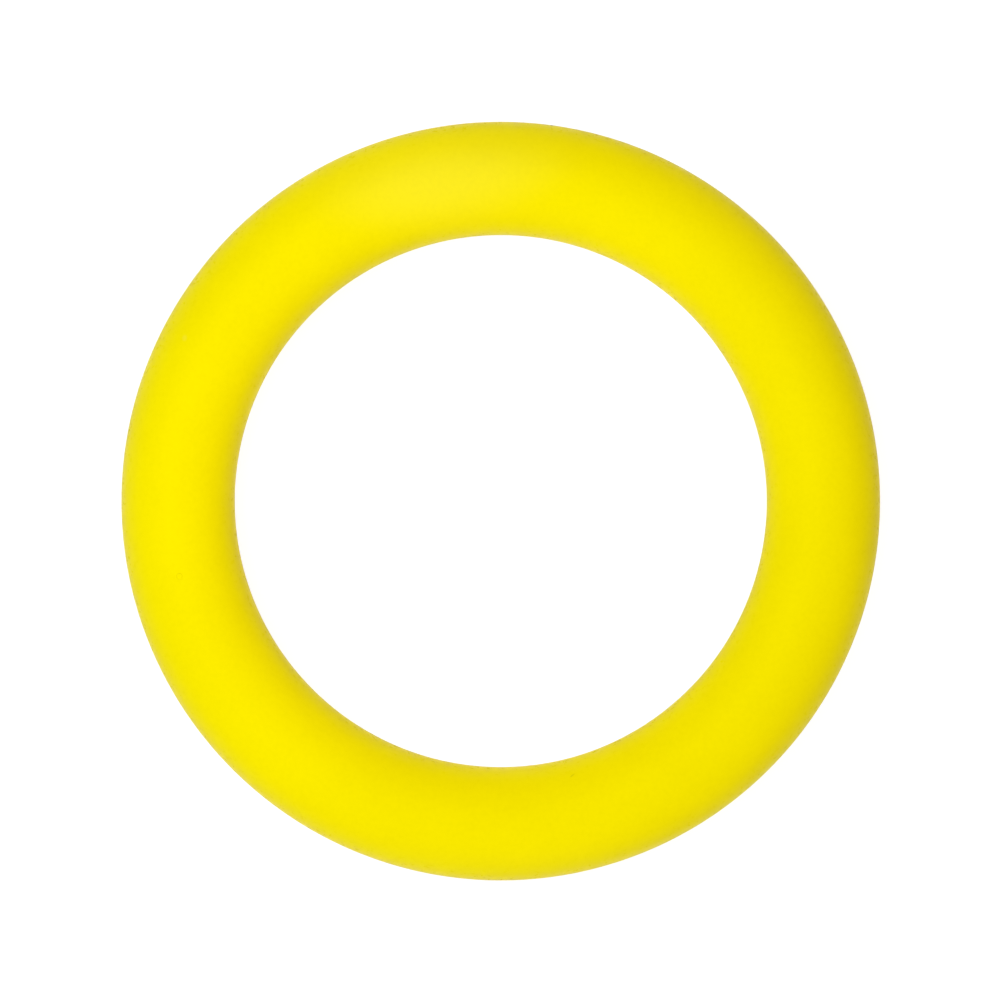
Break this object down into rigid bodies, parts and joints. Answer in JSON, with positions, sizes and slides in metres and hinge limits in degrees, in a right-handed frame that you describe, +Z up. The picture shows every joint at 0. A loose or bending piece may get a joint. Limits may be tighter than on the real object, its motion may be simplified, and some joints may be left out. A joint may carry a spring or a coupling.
{
  "type": "juggling ring",
  "caption": "Soft, air-filled juggling ring of round section in yellow rubber, moulded in halves, with a needle valve set flush in one face.",
  "frame": {"origin": "on the ring's own axis, at the height of the surface that it lies on", "axes": "+Z up along the ring's axis, through the face with the needle valve; the valve is 13 degrees past -X, turning from -X towards -Y"},
  "size_m": [0.24, 0.24, 0.0357],
  "materials": {
    "yellow_rubber": "satin matt, with a very fine moulded grain",
    "seam_strip_rubber": "matt, buffed for bonding",
    "valve_housing_rubber": "matt",
    "valve_plug_rubber": "satin"
  },
  "bodies": {
    "root": {"upper_half_shell": "yellow_rubber", "lower_half_shell": "yellow_rubber", "outer_seam_strip": "seam_strip_rubber", "inner_seam_strip": "seam_strip_rubber", "valve_housing": "valve_housing_rubber", "valve_plug": "valve_plug_rubber"}
  },
  "joints": []
}
